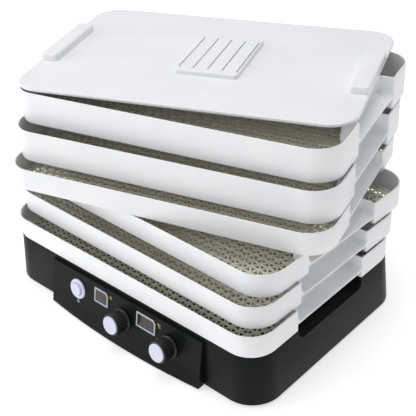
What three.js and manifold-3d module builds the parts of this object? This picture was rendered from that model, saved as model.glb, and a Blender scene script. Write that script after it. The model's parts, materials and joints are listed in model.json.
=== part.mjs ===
// Food dehydrator: a heated fan base, six stacking trays fanned out on top of each other, and a lid.
// Millimetres, +Z up, front (control panel) towards -Y. The origin is the bottom centre of the whole.
import * as THREE from 'three';
import { mergeGeometries, mergeVertices } from 'three/addons/utils/BufferGeometryUtils.js';
import Module from 'manifold-3d';

const wasm = await Module();
wasm.setup();

// ---------------------------------------------------------------- driving sizes
const GAP = 0.3;                 // clearance between pieces that touch
const ARC_STEPS = 4;             // segments in a quarter turn of a large corner
const SMALL_ARC_STEPS = 1;       // segments in a quarter turn of a small corner

const TRAY_LENGTH = 435;         // along X
const TRAY_WIDTH = 284.4;        // along Y
const TRAY_CORNER = 35.3;
const TRAY_WALL = 2.2;
const SHALLOW_WALL = 29.6;        // visible wall of the four shallow trays
const DEEP_WALL = 42.3;          // visible wall of the two deep trays
const SPIGOT_HEIGHT = 1.2;       // foot of a tray that drops into the rim below
const SPIGOT_INSET = 2.9;
const SPIGOT_CLEARANCE = 0.4;    // lowest tray's foot to the inside of the housing's rim
const TRAY_FLOOR = 2;            // thickness of the flange that carries the mesh
const FLANGE_WIDTH = 6;
const MESH_THICKNESS = 2;
const MESH_CLEARANCE = 0.5;
const MESH_RIB = 5;
const MESH_COLUMNS = 4;
const MESH_ROWS = 2;

const NOTCH_LENGTH = 127;        // handle recess in each short side
const NOTCH_DEPTH = 22;
const NOTCH_MOUTH_RADIUS = 2.5;
const NOTCH_INNER_RADIUS = 6;
const LEDGE_THICKNESS = 2.5;
const LEDGE_FILLET = 8;
const LEDGE_FILLET_STEPS = 3;
const LEDGE_OVERLAP = 1;         // how far the ledge runs into the walls it is moulded to
const SHALLOW_LEDGE_DROP = 18;   // rim to the top of the ledge
const DEEP_LEDGE_DROP = 24.5;

const FOOT_HEIGHT = 3;
const FOOT_RADIUS = 9;
const FOOT_INSET = 38;           // foot centre from the tray outline
const BASE_HEIGHT = 68;          // housing without its feet
const BASE_WALL = 2.5;
const BASE_FLARE = 5.9;          // how far the housing spreads at its foot
const BASE_EDGE = 1.5;           // small lead-in at the foot of the housing
const POCKET_DEPTH = 14;         // hand pocket cut down from the housing's rim
const POCKET_RADIUS = 7;
const COVER_THICKNESS = 2.5;
const COVER_CLEARANCE = 0.5;
const DECK_DROP = 8;             // housing rim to the underside of the air grille
const DECK_THICKNESS = 2.3;
const POST_RADIUS = 6;
const POST_REACH = 29;           // screw post from the corner's centre
const SCREW_RADIUS = 1.7;
const SCREW_HEAD_RADIUS = 3.5;
const SCREW_LENGTH = 9;

const PANEL_LEFT = -125;
const PANEL_RIGHT = 142;
const PANEL_TOP = 66;            // height of the panel's upper edge
const PANEL_LIP = 4;             // thickness at the upper edge
const PANEL_STAND_OUT = 10;      // how far the lower edge stands in front of the housing
const PANEL_BOW = 7.5;           // how far the lower edge bows out beyond that at its middle
const PANEL_BOW_HEIGHT = 18;     // the bow runs out at this height above the lower edge
const PANEL_CROWN = 0.3;         // the rest of the face falls back this much at its ends
const PANEL_BOW_STEPS = 12;
const PANEL_SKIN = 2.2;
const PANEL_MARGIN = 5;          // solid rim around the hollow behind the panel

const BUTTON_X = -73.3;
const BUTTON_UP = 41;            // heights on the panel are measured up its slope
const BUTTON_RADIUS = 8.2;
const BUTTON_TRAVEL = 2.5;
const BUTTON_RIM = 5.6;            // width of the ring's flange outside the button
const DISPLAY_UP = 48.2;
const DISPLAYS = [
  { x: -28.8, width: 25, height: 20.5 },
  { x: 51.6, width: 33, height: 20.5 },
];
const BEZEL = 2;
const DISPLAY_CHAMFER = 4;
const KNOBS = [{ x: 10.8, up: 34.2 }, { x: 91.2, up: 34.9 }];
const KNOB_RADIUS = 14;
const KNOB_SKIRT_RADIUS = 15.5;
const KNOB_LENGTH = 21;
const KNOB_RIBS = 16;
const KNOB_CAP_RADIUS = 11.8;
const KNOB_CAP_HEIGHT = 1.6;
const KNOB_SHAFT_RADIUS = 3;
const BOARD_BEHIND = 19;         // circuit board behind the panel's face
const BOARD_THICKNESS = 1.6;

const SHROUD_RADIUS = 68.5;
const SHROUD_WALL = 2.5;
const SPIDER_THICKNESS = 3;
const IMPELLER_CLEARANCE = 2;
const MOTOR_RADIUS = 22;
const MOTOR_HEIGHT = 22;
const MOTOR_SHAFT_RADIUS = 2.5;
const MOTOR_BORE_DEPTH = 12;
const IMPELLER_RADIUS = 60;
const IMPELLER_HEIGHT = 12;
const IMPELLER_HUB = 16;
const IMPELLER_BLADES = 7;
const HEATER_TUBE = 6;
const HEATER_INNER = 24;
const HEATER_OUTER = 56;
const HEATER_TURNS = 2.25;

const INLET_X = 150;
const INLET_WIDTH = 30;
const INLET_HEIGHT = 22;
const INLET_DEPTH = 22;
const INLET_FLANGE = 3;
const SOCKET_WIDTH = 22;
const SOCKET_HEIGHT = 14;
const SOCKET_DEPTH = 16;

const LID_LENGTH = 437.5;
const LID_WIDTH = 282.5;
const LID_CORNER = 36;
const LID_THICKNESS = 4.2;
const LID_EDGE = 1.2;            // rounding of the lid's edge
const GRIP_LENGTH = 113;
const GRIP_WIDTH = 24;
const GRIP_HEIGHT = 9;
const GRIP_RADIUS = 5;
const VENT_X = 12;
const VENT_Y = 5;
const VENT_WIDTH = 84;
const VENT_LENGTH = 118;
const VENT_HEIGHT = 5.5;
const VENT_SLOTS = 5;
const VENT_SLOT_WIDTH = 2.6;
const VENT_SLOT_LENGTH = 98;
const VENT_SLOT_PITCH = 19.2;

// How the stack stands, from the bottom tray up: shift and turn from the base, and wall height.
const TRAYS = [
  { x: 0, y: 0, turn: 0, wall: SHALLOW_WALL, drop: SHALLOW_LEDGE_DROP },
  { x: -3.5, y: 15.1, turn: -0.9, wall: SHALLOW_WALL, drop: SHALLOW_LEDGE_DROP },
  { x: -6.3, y: 34.9, turn: -1.4, wall: SHALLOW_WALL, drop: SHALLOW_LEDGE_DROP },
  { x: -11.4, y: 36.7, turn: 16.0, wall: SHALLOW_WALL, drop: SHALLOW_LEDGE_DROP },
  { x: -16.9, y: 54.7, turn: 15.6, wall: DEEP_WALL, drop: DEEP_LEDGE_DROP },
  { x: -23.0, y: 70.7, turn: 14.9, wall: DEEP_WALL, drop: DEEP_LEDGE_DROP },
];
const LID_POSE = { x: -45.9, y: 91.2, turn: 22.2 };

// ---------------------------------------------------------------- materials
function material(color, roughness, metalness = 0) {
  return new THREE.MeshStandardMaterial({ color, roughness, metalness });
}
const WHITE_PLASTIC = material(0xeef0f3, 0.45);
const MESH_PLASTIC = material(0xcfcdc4, 0.6);
const BLACK_PLASTIC = material(0x2e3234, 0.55);
const DARK_PLASTIC = material(0x1c1e20, 0.5);
const LAVENDER_PLASTIC = material(0xd8daec, 0.35);
const BEZEL_PLASTIC = material(0xbec6cd, 0.4);
const SMOKED_LENS = material(0x3a332f, 0.15);
const RUBBER = material(0x191919, 0.9);
const STEEL = material(0xb4b7ba, 0.35, 1);
const HEATER_STEEL = material(0x8c7f72, 0.4, 1);
const MICA = material(0xb9ab8c, 0.7);
const CIRCUIT_BOARD = material(0x2f6b3c, 0.5);

// ---------------------------------------------------------------- solid helpers
function solid(geometry) {
  const plain = geometry.clone();
  plain.deleteAttribute('normal');
  plain.deleteAttribute('uv');
  const merged = mergeVertices(plain, 1e-4);
  return new wasm.Manifold(new wasm.Mesh({
    numProp: 3,
    vertProperties: new Float32Array(merged.attributes.position.array),
    triVerts: new Uint32Array(merged.index.array),
  }));
}

function geometryOf(manifold) {
  const mesh = manifold.getMesh();
  const geometry = new THREE.BufferGeometry();
  geometry.setAttribute('position', new THREE.BufferAttribute(mesh.vertProperties, 3));
  geometry.setIndex(new THREE.BufferAttribute(mesh.triVerts, 1));
  geometry.computeVertexNormals();
  return geometry;
}

function join(...geometries) {
  return geometryOf(geometries.map(solid).reduce((whole, next) => whole.add(next)));
}

function cut(body, ...cutters) {
  return geometryOf(cutters.map(solid).reduce((rest, next) => rest.subtract(next), solid(body)));
}

function box(x0, x1, y0, y1, z0, z1) {
  const shape = new THREE.BoxGeometry(x1 - x0, y1 - y0, z1 - z0);
  return shape.translate((x0 + x1) / 2, (y0 + y1) / 2, (z0 + z1) / 2);
}

function extrude(points, z0, z1) {
  const shape = new THREE.Shape(points);
  const geometry = new THREE.ExtrudeGeometry(shape, { depth: z1 - z0, bevelEnabled: false });
  return geometry.translate(0, 0, z0);
}

// A section in (x, z) swept along Y from y0 to y1.
function extrudeAlongY(points, y0, y1) {
  return extrude(points, -y1, -y0).rotateX(Math.PI / 2);
}

// A section in (y, z) swept along X from x0 to x1.
function extrudeAlongX(points, x0, x1) {
  return extrude(points, x0, x1).rotateX(Math.PI / 2).rotateZ(Math.PI / 2);
}

// A body of revolution about Z from [radius, height] pairs that close on the axis or on themselves.
function turned(profile, segments = 20) {
  const points = profile.map(([radius, height]) => new THREE.Vector2(radius, height));
  return new THREE.LatheGeometry(points, segments).rotateX(Math.PI / 2);
}

function cylinder(radius, z0, z1, segments = 20) {
  return turned([[0, z0], [radius, z0], [radius, z1], [0, z1]], segments);
}

function ring(inner, outer, z0, z1, segments = 20) {
  return turned([[inner, z0], [outer, z0], [outer, z1], [inner, z1], [inner, z0]], segments);
}

// A closed outline with square turns, each rounded by its own radius: corners are [x, y, radius].
function roundedOutline(corners, steps) {
  const points = [];
  corners.forEach(([x, y, radius], i) => {
    const before = corners[(i + corners.length - 1) % corners.length];
    const after = corners[(i + 1) % corners.length];
    const arrive = new THREE.Vector2(x - before[0], y - before[1]).normalize();
    const leave = new THREE.Vector2(after[0] - x, after[1] - y).normalize();
    const count = radius > NOTCH_INNER_RADIUS * 2 ? steps : SMALL_ARC_STEPS;
    for (let k = 0; k <= count; k += 1) {
      const angle = (k / count) * (Math.PI / 2);
      const along = radius * (Math.sin(angle) - 1);
      const across = radius * (1 - Math.cos(angle));
      points.push(new THREE.Vector2(
        x + arrive.x * along + leave.x * across,
        y + arrive.y * along + leave.y * across,
      ));
    }
  });
  return points;
}

function rectangle(length, width, radius, inset = 0, steps = ARC_STEPS) {
  const x = length / 2 - inset;
  const y = width / 2 - inset;
  const r = radius - inset;
  return roundedOutline([[x, -y, r], [x, y, r], [-x, y, r], [-x, -y, r]], steps);
}

function plainOutline(inset) {
  return rectangle(TRAY_LENGTH, TRAY_WIDTH, TRAY_CORNER, inset);
}

// The tray outline with a handle recess in each short side, moved inwards by inset.
function notchedOutline(inset) {
  const x = TRAY_LENGTH / 2 - inset;
  const y = TRAY_WIDTH / 2 - inset;
  const notchX = TRAY_LENGTH / 2 - NOTCH_DEPTH - inset;
  const notchY = NOTCH_LENGTH / 2 + inset;
  const r = TRAY_CORNER - inset;
  const mouth = Math.max(NOTCH_MOUTH_RADIUS - inset, 0.3);
  const inner = NOTCH_INNER_RADIUS + inset;
  const rightSide = [
    [x, -y, r], [x, -notchY, mouth], [notchX, -notchY, inner],
    [notchX, notchY, inner], [x, notchY, mouth], [x, y, r],
  ];
  const leftSide = rightSide.map(([px, py, pr]) => [-px, -py, pr]);
  return roundedOutline([...rightSide, ...leftSide], ARC_STEPS);
}

// A solid through outlines with equal point counts, at rising heights: layers are [outline, z].
function loft(layers) {
  const count = layers[0][0].length;
  const positions = layers.flatMap(([outline, z]) => outline.flatMap((p) => [p.x, p.y, z]));
  const index = [];
  for (let layer = 0; layer + 1 < layers.length; layer += 1) {
    for (let i = 0; i < count; i += 1) {
      const a = layer * count + i;
      const b = layer * count + ((i + 1) % count);
      index.push(a, b, b + count, a, b + count, a + count);
    }
  }
  const cap = THREE.ShapeUtils.triangulateShape(layers[0][0], []);
  const top = (layers.length - 1) * count;
  for (const [a, b, c] of cap) {
    index.push(c, b, a, top + a, top + b, top + c);
  }
  const geometry = new THREE.BufferGeometry();
  geometry.setAttribute('position', new THREE.Float32BufferAttribute(positions, 3));
  geometry.setIndex(index);
  return geometry;
}

function named(name, geometry, look) {
  const mesh = new THREE.Mesh(geometry, look);
  mesh.name = name;
  return mesh;
}

// ---------------------------------------------------------------- heights worked out from the sizes
const RIM_WALL = SPIGOT_INSET - SPIGOT_CLEARANCE;   // housing wall that the lowest tray drops into
const BASE_BOTTOM = FOOT_HEIGHT;
const BASE_TOP = BASE_BOTTOM + BASE_HEIGHT;
const COVER_BOTTOM = BASE_BOTTOM + GAP;
const COVER_TOP = COVER_BOTTOM + COVER_THICKNESS;
const DECK_BOTTOM = BASE_TOP - DECK_DROP;
const POCKET_FLOOR = BASE_TOP - POCKET_DEPTH;
const MOTOR_TOP = COVER_TOP + GAP + MOTOR_HEIGHT;
const SPIDER_BOTTOM = MOTOR_TOP + GAP;
const SPIDER_TOP = SPIDER_BOTTOM + SPIDER_THICKNESS;
const IMPELLER_BOTTOM = SPIDER_TOP + IMPELLER_CLEARANCE;
const HEATER_Z = DECK_BOTTOM - 3 - HEATER_TUBE / 2;

// How far the housing's slanted outside stands beyond the tray outline at height z.
function flareAt(z) {
  return BASE_FLARE * (BASE_TOP - z) / (BASE_HEIGHT - BASE_EDGE);
}

// ---------------------------------------------------------------- base: housing, cover, feet, screws
const SCREW_PLACES = [[1, 1], [1, -1], [-1, 1], [-1, -1]].map(([sx, sy]) => [
  sx * (TRAY_LENGTH / 2 - TRAY_CORNER + POST_REACH * Math.SQRT1_2),
  sy * (TRAY_WIDTH / 2 - TRAY_CORNER + POST_REACH * Math.SQRT1_2),
]);
const FOOT_PLACES = [[1, 1], [1, -1], [-1, 1], [-1, -1]].map(([sx, sy]) => [
  sx * (TRAY_LENGTH / 2 - FOOT_INSET),
  sy * (TRAY_WIDTH / 2 - FOOT_INSET),
]);

function handPocket() {
  const half = NOTCH_LENGTH / 2;
  const top = BASE_TOP + 1;
  const profile = roundedOutline([
    [half, POCKET_FLOOR, POCKET_RADIUS], [half, top, 0.1],
    [-half, top, 0.1], [-half, POCKET_FLOOR, POCKET_RADIUS],
  ], ARC_STEPS);
  const inner = TRAY_LENGTH / 2 - NOTCH_DEPTH;
  return extrudeAlongX(profile, inner, TRAY_LENGTH / 2 + 2 * BASE_FLARE);
}

function panelOpening() {
  return box(
    PANEL_LEFT + PANEL_MARGIN, PANEL_RIGHT - PANEL_MARGIN,
    -TRAY_WIDTH / 2 - 2 * BASE_FLARE, -TRAY_WIDTH / 2 + 2 * BASE_WALL,
    COVER_TOP + 2, PANEL_TOP - PANEL_MARGIN,
  );
}

function inletOpening() {
  const z = BASE_BOTTOM + BASE_HEIGHT / 2;
  return box(
    INLET_X - INLET_WIDTH / 2 - GAP, INLET_X + INLET_WIDTH / 2 + GAP,
    TRAY_WIDTH / 2 - 3 * BASE_WALL, TRAY_WIDTH / 2 + 2 * BASE_FLARE,
    z - INLET_HEIGHT / 2 - GAP, z + INLET_HEIGHT / 2 + GAP,
  );
}

function baseHousing() {
  const outside = loft([
    [plainOutline(BASE_EDGE - flareAt(BASE_BOTTOM)), BASE_BOTTOM],
    [plainOutline(-flareAt(BASE_BOTTOM + BASE_EDGE)), BASE_BOTTOM + BASE_EDGE],
    [plainOutline(0), BASE_TOP],
  ]);
  const shelf = POCKET_FLOOR - BASE_WALL;
  const lowerRoom = loft([
    [plainOutline(BASE_WALL + BASE_EDGE - flareAt(BASE_BOTTOM)), BASE_BOTTOM - 1],
    [plainOutline(BASE_WALL + BASE_EDGE - flareAt(BASE_BOTTOM)), COVER_TOP],
    [plainOutline(BASE_WALL - flareAt(shelf)), shelf],
  ]);
  const upperRoom = extrude(notchedOutline(RIM_WALL), shelf - 0.5, BASE_TOP + 1);
  const posts = SCREW_PLACES.map(([x, y]) => cylinder(POST_RADIUS, COVER_TOP + GAP, shelf, 20).translate(x, y, 0));
  const screwHoles = SCREW_PLACES.map(([x, y]) => (
    cylinder(SCREW_RADIUS + GAP, COVER_TOP, COVER_TOP + SCREW_LENGTH, 16).translate(x, y, 0)));
  const shell = cut(outside, lowerRoom, upperRoom);
  const pockets = [handPocket(), handPocket().rotateZ(Math.PI)];
  const outerHull = solid(outside);
  const postsInside = posts.map((post) => geometryOf(solid(post).intersect(outerHull)));
  return cut(join(shell, ...postsInside), ...pockets, panelOpening(), inletOpening(), ...screwHoles);
}

function bottomCover() {
  const outline = plainOutline(BASE_WALL + BASE_EDGE + COVER_CLEARANCE - flareAt(BASE_BOTTOM));
  const slots = [-3, -2, -1, 0, 1, 2, 3].map((row) => (
    box(-45, 45, row * 15 - 3, row * 15 + 3, COVER_BOTTOM - 1, COVER_TOP + 1)));
  const holes = SCREW_PLACES.map(([x, y]) => (
    cylinder(SCREW_RADIUS + GAP, COVER_BOTTOM - 1, COVER_TOP + 1, 16).translate(x, y, 0)));
  return cut(extrude(outline, COVER_BOTTOM, COVER_TOP), ...slots, ...holes);
}

function addBase(group) {
  group.add(named('base_housing', baseHousing(), BLACK_PLASTIC));
  group.add(named('bottom_cover', bottomCover(), DARK_PLASTIC));
  FOOT_PLACES.forEach(([x, y], i) => {
    const foot = named(`foot_${i + 1}`, cylinder(FOOT_RADIUS, 0, FOOT_HEIGHT, 24), RUBBER);
    foot.position.set(x, y, 0);
    group.add(foot);
  });
  const screwProfile = [
    [0, COVER_BOTTOM - GAP - 1.6], [SCREW_HEAD_RADIUS, COVER_BOTTOM - GAP - 1.6],
    [SCREW_HEAD_RADIUS, COVER_BOTTOM - GAP], [SCREW_RADIUS, COVER_BOTTOM - GAP],
    [SCREW_RADIUS, COVER_TOP + SCREW_LENGTH - 2], [0, COVER_TOP + SCREW_LENGTH - 2],
  ];
  SCREW_PLACES.forEach(([x, y], i) => {
    const screw = named(`cover_screw_${i + 1}`, turned(screwProfile, 16), STEEL);
    screw.position.set(x, y, 0);
    group.add(screw);
  });
}

// ---------------------------------------------------------------- base: fan, heater, grille, inlet
function fanShroud() {
  const tube = ring(SHROUD_RADIUS - SHROUD_WALL, SHROUD_RADIUS, SPIDER_BOTTOM, DECK_BOTTOM - GAP, 32);
  const hub = ring(8, MOTOR_RADIUS, SPIDER_BOTTOM, SPIDER_TOP, 32);
  const arms = [0, 1, 2, 3].map((quarter) => (
    box(MOTOR_RADIUS - 2, SHROUD_RADIUS - 1, -3, 3, SPIDER_BOTTOM, SPIDER_TOP)
      .rotateZ(quarter * Math.PI / 2 + Math.PI / 4)));
  return join(tube, hub, ...arms);
}

function impeller() {
  const middle = IMPELLER_BOTTOM + IMPELLER_HEIGHT / 2;
  const hub = cylinder(IMPELLER_HUB, IMPELLER_BOTTOM, IMPELLER_BOTTOM + IMPELLER_HEIGHT, 32);
  const blades = [];
  for (let i = 0; i < IMPELLER_BLADES; i += 1) {
    const blade = box(IMPELLER_HUB - 3, IMPELLER_RADIUS, -11, 11, -0.9, 0.9);
    blade.rotateX(THREE.MathUtils.degToRad(26)).translate(0, 0, middle);
    blades.push(blade.rotateZ(i * 2 * Math.PI / IMPELLER_BLADES));
  }
  const bore = cylinder(MOTOR_SHAFT_RADIUS + GAP, IMPELLER_BOTTOM - 1, IMPELLER_BOTTOM + IMPELLER_HEIGHT - 3, 20);
  return cut(join(hub, ...blades), bore);
}

function heaterCoil() {
  const points = [];
  const steps = 28;
  for (let i = 0; i <= steps; i += 1) {
    const angle = (i / steps) * HEATER_TURNS * 2 * Math.PI;
    const radius = HEATER_INNER + (HEATER_OUTER - HEATER_INNER) * (i / steps);
    points.push(new THREE.Vector3(radius * Math.cos(angle), radius * Math.sin(angle), HEATER_Z));
  }
  const section = new THREE.Shape();
  section.absarc(0, 0, HEATER_TUBE / 2, 0, 2 * Math.PI);
  const path = new THREE.CatmullRomCurve3(points);
  return new THREE.ExtrudeGeometry(section, { steps: 44, extrudePath: path, curveSegments: 2 });
}

function deckGrille() {
  const plate = extrude(notchedOutline(RIM_WALL + COVER_CLEARANCE), DECK_BOTTOM, DECK_BOTTOM + DECK_THICKNESS);
  const slots = [];
  for (let row = -3; row <= 3; row += 1) {
    for (const side of [-1, 1]) {
      const x = side * 85;
      slots.push(box(x - 65, x + 65, row * 30 - 6, row * 30 + 6, DECK_BOTTOM - 1, DECK_BOTTOM + DECK_THICKNESS + 1));
    }
  }
  return cut(plate, ...slots);
}

function powerInlet() {
  const outer = TRAY_WIDTH / 2 + BASE_FLARE;
  const z = BASE_BOTTOM + BASE_HEIGHT / 2;
  const halfWidth = INLET_WIDTH / 2;
  const halfHeight = INLET_HEIGHT / 2;
  const body = join(
    box(INLET_X - halfWidth, INLET_X + halfWidth, outer - INLET_DEPTH, outer + 1, z - halfHeight, z + halfHeight),
    box(
      INLET_X - halfWidth - INLET_FLANGE, INLET_X + halfWidth + INLET_FLANGE,
      outer + GAP, outer + GAP + 2, z - halfHeight - INLET_FLANGE, z + halfHeight + INLET_FLANGE,
    ),
  );
  const socket = box(
    INLET_X - SOCKET_WIDTH / 2, INLET_X + SOCKET_WIDTH / 2,
    outer - SOCKET_DEPTH, outer + 5, z - SOCKET_HEIGHT / 2, z + SOCKET_HEIGHT / 2,
  );
  const pins = [-1, 1].map((side) => box(
    INLET_X + side * 6 - 2, INLET_X + side * 6 + 2, outer - SOCKET_DEPTH - 1, outer - 4, z - 1, z + 1,
  ));
  return join(cut(body, socket), ...pins);
}

function addAirUnit(group) {
  const motorCan = turned([
    [0, COVER_TOP + GAP], [MOTOR_RADIUS - 2, COVER_TOP + GAP], [MOTOR_RADIUS, COVER_TOP + GAP + 2],
    [MOTOR_RADIUS, MOTOR_TOP - 2], [MOTOR_RADIUS - 2, MOTOR_TOP],
    [MOTOR_SHAFT_RADIUS + GAP, MOTOR_TOP], [MOTOR_SHAFT_RADIUS + GAP, MOTOR_TOP - MOTOR_BORE_DEPTH], [0, MOTOR_TOP - MOTOR_BORE_DEPTH],
  ], 32);
  const shaftTop = IMPELLER_BOTTOM + IMPELLER_HEIGHT - 3 - GAP;
  group.add(named('fan_motor', motorCan, STEEL));
  group.add(named('fan_shroud', fanShroud(), DARK_PLASTIC));
  group.add(named('motor_shaft', cylinder(MOTOR_SHAFT_RADIUS, MOTOR_TOP - MOTOR_BORE_DEPTH + GAP, shaftTop, 20), STEEL));
  group.add(named('fan_impeller', impeller(), DARK_PLASTIC));

  const supportTop = HEATER_Z - HEATER_TUBE / 2 - GAP;
  const reach = SHROUD_RADIUS - SHROUD_WALL - 2 * GAP;
  const bar = box(-reach, reach, -4, 4, supportTop - 2, supportTop);
  group.add(named('heater_support', join(bar, bar.clone().rotateZ(Math.PI / 2)), MICA));
  group.add(named('heater_coil', heaterCoil(), HEATER_STEEL));
  group.add(named('thermostat', cylinder(8, supportTop + GAP, supportTop + 7, 24), STEEL));
  group.add(named('deck_grille', deckGrille(), BLACK_PLASTIC));
  group.add(named('power_inlet', powerInlet(), DARK_PLASTIC));
}

// ---------------------------------------------------------------- control panel
// The panel's face slopes: its frame has X along the base, Y up the slope and Z out of the face.
const PANEL_BACK_BOTTOM = -TRAY_WIDTH / 2 - flareAt(BASE_BOTTOM) - GAP;
const PANEL_BACK_TOP = -TRAY_WIDTH / 2 - flareAt(PANEL_TOP) - GAP;
const PANEL_FRONT_BOTTOM = PANEL_BACK_BOTTOM - PANEL_STAND_OUT;
const PANEL_FRONT_TOP = PANEL_BACK_TOP - PANEL_LIP;
const PANEL_SLOPE = Math.atan2(PANEL_FRONT_TOP - PANEL_FRONT_BOTTOM, PANEL_TOP - BASE_BOTTOM);

function toPanel(geometry) {
  return geometry.rotateX(Math.PI / 2 - PANEL_SLOPE).translate(0, PANEL_FRONT_BOTTOM, BASE_BOTTOM);
}

function displayOutline(display, inset) {
  const x = display.width / 2 - inset;
  const y = display.height / 2 - inset;
  const chamfer = DISPLAY_CHAMFER - inset * 0.6;
  return [
    [-x, -y], [x, -y], [x, y - chamfer], [x - chamfer, y], [-x, y],
  ].map(([px, py]) => new THREE.Vector2(display.x + px, DISPLAY_UP + py));
}

// Plan outline of the panel at one height: its front edge bows out by `bow` at the middle.
function panelLayer(z, bow) {
  const share = (z - BASE_BOTTOM) / (PANEL_TOP - BASE_BOTTOM);
  const front = PANEL_FRONT_BOTTOM + share * (PANEL_FRONT_TOP - PANEL_FRONT_BOTTOM);
  const back = PANEL_BACK_BOTTOM + share * (PANEL_BACK_TOP - PANEL_BACK_BOTTOM);
  const outline = [];
  for (let k = 0; k <= PANEL_BOW_STEPS; k += 1) {
    const across = (2 * k) / PANEL_BOW_STEPS - 1;
    const x = (PANEL_LEFT + PANEL_RIGHT) / 2 + (across * (PANEL_RIGHT - PANEL_LEFT)) / 2;
    outline.push(new THREE.Vector2(x, front - bow + (bow + PANEL_CROWN) * across * across));
  }
  outline.push(new THREE.Vector2(PANEL_RIGHT, back), new THREE.Vector2(PANEL_LEFT, back));
  return [outline, z];
}

function controlPanel() {
  const wedge = loft([
    panelLayer(BASE_BOTTOM, PANEL_BOW),
    panelLayer(BASE_BOTTOM + PANEL_BOW_HEIGHT, 0),
    panelLayer(PANEL_TOP, 0),
  ]);
  const hollow = toPanel(box(
    PANEL_LEFT + PANEL_MARGIN, PANEL_RIGHT - PANEL_MARGIN,
    COVER_TOP + 2 - BASE_BOTTOM, PANEL_TOP - BASE_BOTTOM - PANEL_MARGIN,
    -4 * PANEL_STAND_OUT, -PANEL_SKIN,
  ));
  const holes = [toPanel(cylinder(BUTTON_RADIUS + 1.8, -60, 5, 20).translate(BUTTON_X, BUTTON_UP, 0))];
  for (const display of DISPLAYS) {
    holes.push(toPanel(extrude(displayOutline(display, BEZEL), -60, 5)));
  }
  for (const knob of KNOBS) {
    holes.push(toPanel(cylinder(KNOB_SHAFT_RADIUS + 1, -60, 5, 24).translate(knob.x, knob.up, 0)));
  }
  return cut(wedge, hollow, ...holes);
}

function knobBody() {
  const points = [];
  for (let i = 0; i < KNOB_RIBS; i += 1) {
    for (const [share, radius] of [[0, KNOB_RADIUS - 0.9], [0.35, KNOB_RADIUS], [0.65, KNOB_RADIUS]]) {
      const angle = ((i + share) / KNOB_RIBS) * 2 * Math.PI;
      points.push(new THREE.Vector2(radius * Math.cos(angle), radius * Math.sin(angle)));
    }
  }
  const barrel = extrude(points, 2, KNOB_LENGTH);
  const skirt = cylinder(KNOB_SKIRT_RADIUS, 1, 4, 24);
  const bore = cylinder(KNOB_SHAFT_RADIUS + GAP, 0, KNOB_LENGTH - 6, 20);
  const capSeat = cylinder(KNOB_CAP_RADIUS + GAP, KNOB_LENGTH - 1, KNOB_LENGTH + 1, 24);
  return cut(join(barrel, skirt), bore, capSeat);
}

function addControls(group) {
  group.add(named('control_panel', controlPanel(), BLACK_PLASTIC));
  const face = new THREE.Group();
  face.position.set(0, PANEL_FRONT_BOTTOM, BASE_BOTTOM);
  face.rotation.x = Math.PI / 2 - PANEL_SLOPE;
  group.add(face);
  const addAt = (name, geometry, look, x, y) => {
    const mesh = named(name, geometry, look);
    mesh.position.set(x, y, 0);
    face.add(mesh);
  };

  const sleeve = turned([
    [BUTTON_RADIUS + 0.4, -6], [BUTTON_RADIUS + 1.4, -6], [BUTTON_RADIUS + 1.4, GAP],
    [BUTTON_RADIUS + BUTTON_RIM, GAP], [BUTTON_RADIUS + BUTTON_RIM - 0.8, 2.4],
    [BUTTON_RADIUS + 0.8, 3], [BUTTON_RADIUS + 0.4, 2.6], [BUTTON_RADIUS + 0.4, -6],
  ]);
  const cap = turned([
    [0, -4], [BUTTON_RADIUS, -4], [BUTTON_RADIUS, 4.4], [BUTTON_RADIUS - 0.8, 5],
    [BUTTON_RADIUS * 0.55, 3.9], [0, 3.4],
  ]);
  addAt('power_button_ring', sleeve, LAVENDER_PLASTIC, BUTTON_X, BUTTON_UP);
  addAt('power_button', cap, LAVENDER_PLASTIC, BUTTON_X, BUTTON_UP);
  addAt('power_switch', box(-9, 9, -9, 9, -BOARD_BEHIND + GAP, -4 - BUTTON_TRAVEL - 2 * GAP), DARK_PLASTIC,
    BUTTON_X, BUTTON_UP);

  DISPLAYS.forEach((display, i) => {
    const outer = extrude(displayOutline(display, 0), GAP, 1.4);
    const window = extrude(displayOutline(display, BEZEL), 0, 2);
    addAt(`display_frame_${i + 1}`, cut(outer, window), BEZEL_PLASTIC, 0, 0);
    addAt(`display_lens_${i + 1}`, extrude(displayOutline(display, BEZEL + GAP), -PANEL_SKIN, 0.9), SMOKED_LENS, 0, 0);
    const halfWidth = display.width / 2;
    addAt(`display_module_${i + 1}`, box(-halfWidth, halfWidth, -8.5, 8.5, -9, -PANEL_SKIN - 2 * GAP), DARK_PLASTIC,
      display.x, DISPLAY_UP);
  });

  KNOBS.forEach((knob, i) => {
    addAt(`knob_${i + 1}`, knobBody(), DARK_PLASTIC, knob.x, knob.up);
    const capBottom = KNOB_LENGTH - 1 + GAP;
    const disc = turned([
      [0, capBottom], [KNOB_CAP_RADIUS, capBottom], [KNOB_CAP_RADIUS, capBottom + KNOB_CAP_HEIGHT],
      [KNOB_CAP_RADIUS - 1, capBottom + KNOB_CAP_HEIGHT + 0.6], [0, capBottom + KNOB_CAP_HEIGHT + 0.8],
    ]);
    addAt(`knob_cap_${i + 1}`, disc, LAVENDER_PLASTIC, knob.x, knob.up);
    addAt(`knob_shaft_${i + 1}`, cylinder(KNOB_SHAFT_RADIUS, -9, KNOB_LENGTH - 6 - GAP, 20), STEEL, knob.x, knob.up);
    const encoderTop = -9 - GAP;
    addAt(`knob_encoder_${i + 1}`, box(-7, 7, -7, 7, -BOARD_BEHIND + GAP, encoderTop), DARK_PLASTIC, knob.x, knob.up);
  });
  addAt('control_board', box(-100, 110, 22, 56, -BOARD_BEHIND - BOARD_THICKNESS, -BOARD_BEHIND), CIRCUIT_BOARD, 0, 0);
}

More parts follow.
